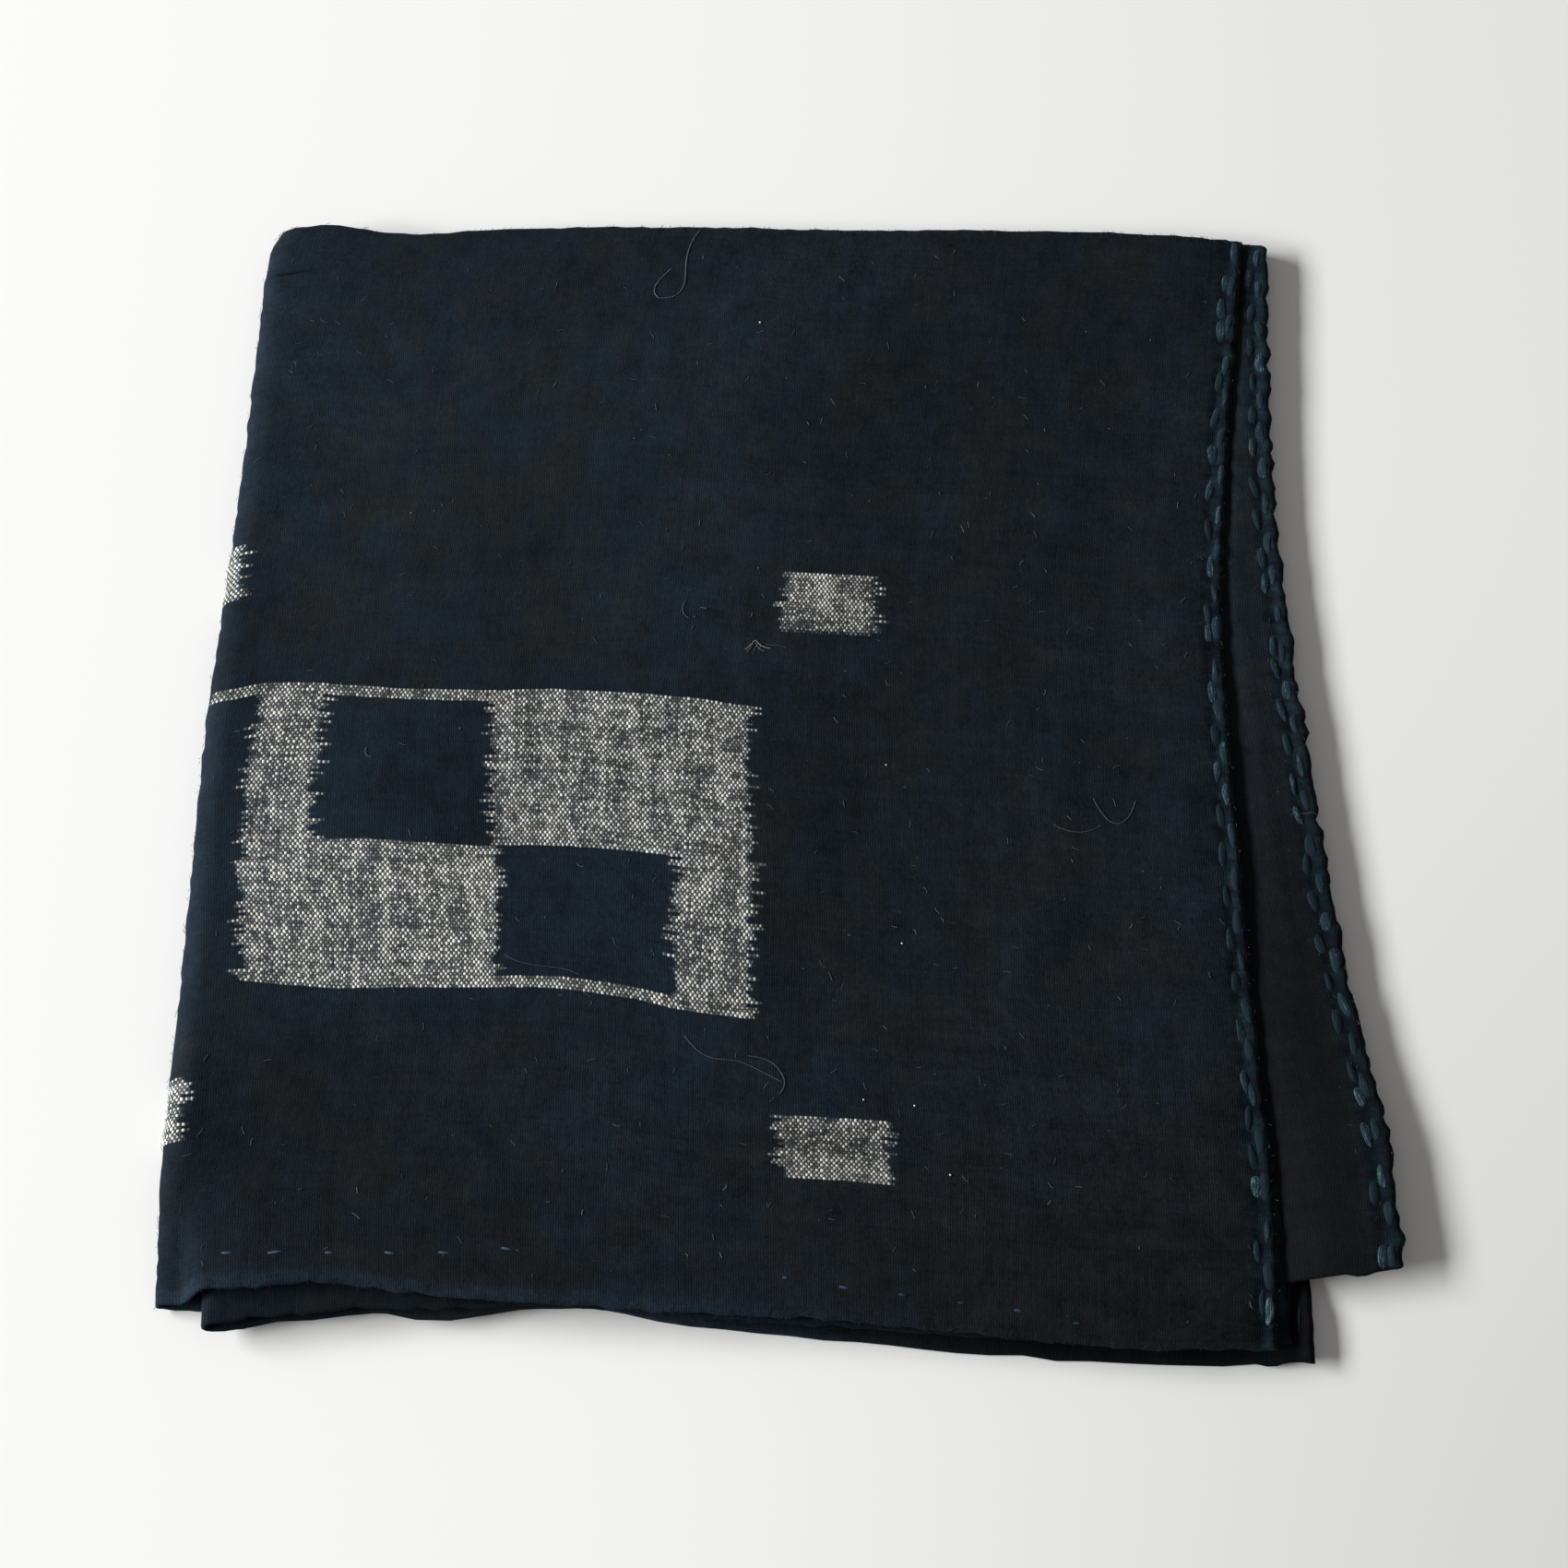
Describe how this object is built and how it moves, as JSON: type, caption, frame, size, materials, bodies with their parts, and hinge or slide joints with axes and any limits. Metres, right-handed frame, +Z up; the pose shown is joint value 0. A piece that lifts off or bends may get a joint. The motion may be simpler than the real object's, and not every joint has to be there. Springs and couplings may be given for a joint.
{
  "type": "folded furoshiki",
  "caption": "Square wrapping cloth of indigo cotton with woven white blocks, folded in half twice and lying flat, its under corner splayed to one side.",
  "frame": {"origin": "middle of the folded bundle's bounding box, on the surface it rests on", "axes": "+Z up out of the resting surface, +Y towards the top fold, +X towards the open right edges where the under corner splays out"},
  "size_m": [0.2726, 0.2883, 0.0098],
  "materials": {
    "indigo_cotton": "matte hand-woven cotton, dark indigo with white woven blocks",
    "blue_thread": "matte cotton sewing thread, faded blue",
    "pale_thread": "matte cotton sewing thread, pale blue",
    "lint": "matte loose fibres"
  },
  "bodies": {
    "root": {"cloth": "indigo_cotton"}
  },
  "joints": []
}
